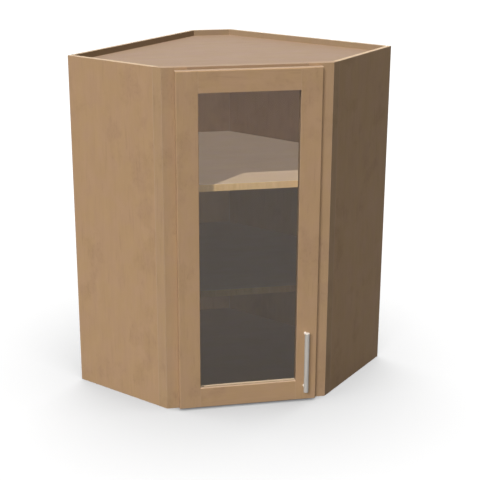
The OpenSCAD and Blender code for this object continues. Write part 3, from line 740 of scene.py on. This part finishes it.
class CABINET_OT_face_frame(CabinetOperator):
    """Finish the stiles and rails of the face frame"""
    bl_idname = "cabinet.face_frame"
    bl_label = "Face Frame"

    def execute(self, context):
        width = context.scene.cabinet_wood.joint_ease
        for node in ("left_frame_stile", "right_frame_stile"):
            finished(node, width, frame_wood("upright", UPRIGHT))
        # The rail over the door takes painted shade
        finished("top_frame_rail", width, over_door())
        finished("bottom_frame_rail", width, frame_wood("level", LEVEL))
        return {"FINISHED"}


class CABINET_OT_shelves(CabinetOperator):
    """Finish the shelves and the edging on their fronts"""
    bl_idname = "cabinet.shelves"
    bl_label = "Shelves"

    def execute(self, context):
        width = context.scene.cabinet_wood.joint_ease
        for node in ("lower_shelf", "upper_shelf"):
            finished(node, width, natural("level", LEVEL))
            finished(node + "_edging", width, bare_edge())
        return {"FINISHED"}


class CABINET_OT_door(CabinetOperator):
    """Finish the stiles and rails of the door and the glass stops"""
    bl_idname = "cabinet.door"
    bl_label = "Door"

    def execute(self, context):
        width = context.scene.cabinet_wood.joint_ease
        for node in ("left_door_stile", "right_door_stile"):
            finished(node, width, stained("upright", UPRIGHT))
        # The stops' sideways faces take a painted shade
        show_stop_edges(finished("upright_glass_stops", width, stained("upright", UPRIGHT), stop_edge_painted_shade()))
        for node in ("top_door_rail", "bottom_door_rail", "level_glass_stops"):
            finished(node, width, stained("level", LEVEL))
        return {"FINISHED"}


class CABINET_OT_glazing(CabinetOperator):
    """Finish the glass, its seal and its setting blocks"""
    bl_idname = "cabinet.glazing"
    bl_label = "Glazing"

    def execute(self, context):
        width = context.scene.cabinet_fittings.metal_ease
        finished("door_glass", width, sheet_glass(), segments=1)
        for node in ("glass_seal", "setting_blocks"):
            finished(node, width, seal_rubber())
        return {"FINISHED"}


class CABINET_OT_hinges(CabinetOperator):
    """Finish the cups, arms, pins and screws of the hinges"""
    bl_idname = "cabinet.hinges"
    bl_label = "Hinges"

    def execute(self, context):
        width = context.scene.cabinet_fittings.metal_ease
        for node in ("hinge_cups", "hinge_arms"):
            finished(node, width, nickel_plating(), shortest=0.0015)
        for node in ("hinge_pins", "cup_screws", "plate_screws"):
            dress(NODES[node], nickel_plating())
        return {"FINISHED"}


class CABINET_OT_pull(CabinetOperator):
    """Finish the bar, posts and screws of the pull"""
    bl_idname = "cabinet.pull"
    bl_label = "Pull"

    def execute(self, context):
        width = context.scene.cabinet_fittings.metal_ease
        # The bar's ends and the posts take the brighter nickel, part buffed and part painted highlight
        show_bare_ends(finished("pull_bar", width, satin_nickel(), bright_nickel(), shortest=0.0003))
        finished("pull_posts", width, bright_nickel(), shortest=0.0003)
        dress(NODES["pull_screws"], zinc_plating())
        return {"FINISHED"}


class CABINET_OT_fixings(CabinetOperator):
    """Finish the shelf pins, the screws and pins of the boards, and the bumpers"""
    bl_idname = "cabinet.fixings"
    bl_label = "Fixings"

    def execute(self, context):
        fittings = context.scene.cabinet_fittings
        finished("shelf_pins", fittings.metal_ease, zinc_plating(), shortest=0.0015)
        for node in ("carcass_screws", "stop_pins"):
            dress(NODES[node], zinc_plating())
        low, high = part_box("door_bumpers")
        radius = (high.x - low.x) / 2
        for name, z in (("lower", low.z + radius), ("upper", high.z - radius)):
            self.bumper("door_bumper_" + name, Vector((low.x + radius, low.y, z)), radius, high.y - low.y)
        return {"FINISHED"}

    def bumper(self, name, seat, radius, height):
        """A round bumper on its seat at the back of the door, with a domed face."""
        dome = bpy.context.scene.cabinet_fittings.dome
        bpy.ops.object.select_all(action="DESELECT")
        middle = seat + Vector((0.0, height / 2, 0.0))
        bpy.ops.mesh.primitive_cylinder_add(vertices=48, radius=radius, depth=height, location=middle,
                                            rotation=(math.radians(90), 0.0, 0.0))
        piece = bpy.context.object
        piece.name = name
        bpy.ops.object.transform_apply(location=True, rotation=True, scale=True)
        bpy.ops.object.mode_set(mode="EDIT")
        bpy.ops.mesh.select_mode(type="EDGE")
        bpy.ops.mesh.select_all(action="DESELECT")
        mesh = bmesh.from_edit_mesh(piece.data)
        face_y = seat.y + height
        for edge in mesh.edges:
            edge.select = all(abs(vertex.co.y - face_y) < 1e-6 for vertex in edge.verts)
        bmesh.update_edit_mesh(piece.data)
        bpy.ops.mesh.bevel(offset=dome, segments=6, affect="EDGES")
        bpy.ops.mesh.select_all(action="DESELECT")
        bpy.ops.object.mode_set(mode="OBJECT")
        dress(piece, bumper_plastic())
        smooth(piece)
        stand_for(piece, "door_bumpers")


class CABINET_OT_stage(CabinetOperator):
    """Set the floor, the lights, the white background and the camera"""
    bl_idname = "cabinet.stage"
    bl_label = "Stage"

    def execute(self, context):
        stage = context.scene.cabinet_stage
        floor = self.floor(stage)
        self.lights(stage, floor)
        self.sky(stage)
        self.camera(stage)
        context.scene.view_settings.view_transform = "Standard"
        return {"FINISHED"}

    def floor(self, stage):
        bpy.ops.object.select_all(action="DESELECT")
        bpy.ops.mesh.primitive_plane_add(size=stage.floor_size, location=(0.0, 0.0, 0.0))
        floor = bpy.context.object
        floor.name = "floor"
        made = bpy.data.materials.new("floor_paint")
        made.use_nodes = True
        made.node_tree.nodes.clear()
        w = Wiring(made.node_tree)
        paint = w.add("ShaderNodeBsdfDiffuse", Color=rgba(FLOOR_PAINT))
        glow = w.add("ShaderNodeEmission", Strength=stage.floor_glow)
        bright = w.add("ShaderNodeAddShader")
        w.join(paint.outputs[0], bright.inputs[0])
        w.join(glow.outputs[0], bright.inputs[1])
        bounce = w.add("ShaderNodeBsdfDiffuse", Color=rgba(FLOOR_BOUNCE))
        both = w.add("ShaderNodeMixShader")
        w.join(self.seen(w), both.inputs[0])
        w.join(bounce.outputs[0], both.inputs[1])
        w.join(bright.outputs[0], both.inputs[2])
        output = w.add("ShaderNodeOutputMaterial")
        w.join(both.outputs[0], output.inputs["Surface"])
        dress(floor, made)
        floor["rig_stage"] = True
        return floor

    def seen(self, w):
        """1 for the rays that carry the background's white to the camera, directly or by a reflection."""
        path = w.add("ShaderNodeLightPath").outputs
        mirrored = w.math("MAXIMUM", path["Is Glossy Ray"], path["Is Transmission Ray"])
        return w.math("MAXIMUM", path["Is Camera Ray"], mirrored)

    def sun(self, name, direction, energy, angle, pieces, tint=WHITE, shadow=True):
        """A sun that lights only the given pieces."""
        turn = Vector(direction).to_track_quat("Z", "Y").to_euler()
        bpy.ops.object.light_add(type="SUN", location=LIGHT_DISTANCE * Vector(direction), rotation=turn)
        sun = bpy.context.object
        sun.name = name
        sun.data.energy = energy
        sun.data.color = tint
        sun.data.angle = angle
        sun.data.use_shadow = shadow
        lit = bpy.data.collections.new(name + "_receivers")
        for piece in pieces:
            lit.objects.link(piece)
        sun.light_linking.receiver_collection = lit
        for member in lit.collection_objects:
            member.light_linking.link_state = "INCLUDE"

    def lights(self, stage, floor):
        """A sharp sun for the shelves alone, and a soft window and plain fills for the outside."""
        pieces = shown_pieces()
        shelves = self.chosen(pieces, SHELVES)
        backs = self.chosen(pieces, BACKS)
        top = self.chosen(pieces, ("top_panel",))
        outside = [piece for piece in pieces if piece not in shelves + backs + top]
        low_shelves = self.chosen(pieces, LOW_SHELVES)
        self.sun("sun", TOWARD_SUN, stage.sun, stage.sun_width, shelves, stage.sun_colour)
        self.sun("backs_sun", TOWARD_SUN, stage.backs_sun, BACKS_SUN_WIDTH, backs, stage.sun_colour)
        self.sun("window", TOWARD_WINDOW, stage.window, stage.window_width, outside, stage.window_colour)
        self.sun("floor_light", (0, 0, 1), stage.floor_light, stage.floor_width, [floor])
        for name, direction, receivers in (
                ("outside_sun", TOWARD_SUN, outside), ("outside_above", (0, 0, 1), outside),
                ("top_above", (0, 0, 1), top), ("shelves_above", (0, 0, 1), shelves),
                ("low_shelves_above", (0, 0, 1), low_shelves), ("shelves_front", (0, -1, 0), shelves),
                ("backs_above", (0, 0, 1), backs), ("backs_front", (0.12, -1, 0), backs),
                ("backs_behind", (0.3, 1, 0), backs), ("all_behind", (0, 1, 0), pieces),
                ("all_below", (0, 0, -1), pieces)):
            tint = stage.sun_colour if receivers in (outside, top) else WHITE
            self.sun(name, direction, getattr(stage, name), FILL_WIDTH, receivers, tint, shadow=False)

    def chosen(self, pieces, nodes):
        return [piece for piece in pieces if piece.get("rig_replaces", [""])[0] in nodes]

    def sky(self, stage):
        world = bpy.data.worlds.new("sky")
        bpy.context.scene.world = world
        world.use_nodes = True
        world.node_tree.nodes.clear()
        w = Wiring(world.node_tree)
        grey = w.add("ShaderNodeBackground", Strength=stage.sky_strength)
        white = w.add("ShaderNodeBackground", Strength=1.0)
        for background in (grey, white):
            background.inputs["Color"].default_value = rgba(WHITE)
        both = w.add("ShaderNodeMixShader")
        w.join(self.seen(w), both.inputs[0])
        w.join(grey.outputs[0], both.inputs[1])
        w.join(white.outputs[0], both.inputs[2])
        output = w.add("ShaderNodeOutputWorld")
        w.join(both.outputs[0], output.inputs["Surface"])

    def camera(self, stage):
        """The camera stands left of the door's middle and looks slightly down."""
        bpy.ops.object.camera_add(location=CAMERA_PLACE, rotation=CAMERA_TURN)
        camera = bpy.context.object
        camera.data.sensor_width = CAMERA_SENSOR
        camera.data.lens = stage.lens
        camera.data.shift_x, camera.data.shift_y = CAMERA_SHIFT
        bpy.context.scene.camera = camera


OPERATORS = (CABINET_OT_carcass, CABINET_OT_face_frame, CABINET_OT_shelves, CABINET_OT_door,
             CABINET_OT_glazing, CABINET_OT_hinges, CABINET_OT_pull, CABINET_OT_fixings, CABINET_OT_stage)
GROUPS = {"cabinet_wood": CabinetWood, "cabinet_fittings": CabinetFittings, "cabinet_stage": CabinetStage}


class CABINET_PT_panel(bpy.types.Panel):
    """Sizes, colours and steps of the corner wall cabinet"""
    bl_idname = "CABINET_PT_panel"
    bl_label = "Corner Wall Cabinet"
    bl_space_type = "VIEW_3D"
    bl_region_type = "UI"
    bl_category = "Cabinet"

    def draw(self, context):
        for name, group in GROUPS.items():
            box = self.layout.box()
            for setting in group.__annotations__:
                box.prop(getattr(context.scene, name), setting)
        for operator in OPERATORS:
            self.layout.operator(operator.bl_idname)


def register():
    for cls in (*GROUPS.values(), *OPERATORS, CABINET_PT_panel):
        bpy.utils.register_class(cls)
    for name, group in GROUPS.items():
        setattr(bpy.types.Scene, name, PointerProperty(type=group))


def unregister():
    for name in GROUPS:
        delattr(bpy.types.Scene, name)
    for cls in (CABINET_PT_panel, *reversed(OPERATORS), *reversed(GROUPS.values())):
        bpy.utils.unregister_class(cls)


def main():
    register()
    for operator in OPERATORS:
        family, step = operator.bl_idname.split(".")
        getattr(getattr(bpy.ops, family), step)()


if __name__ == "__main__":
    main()
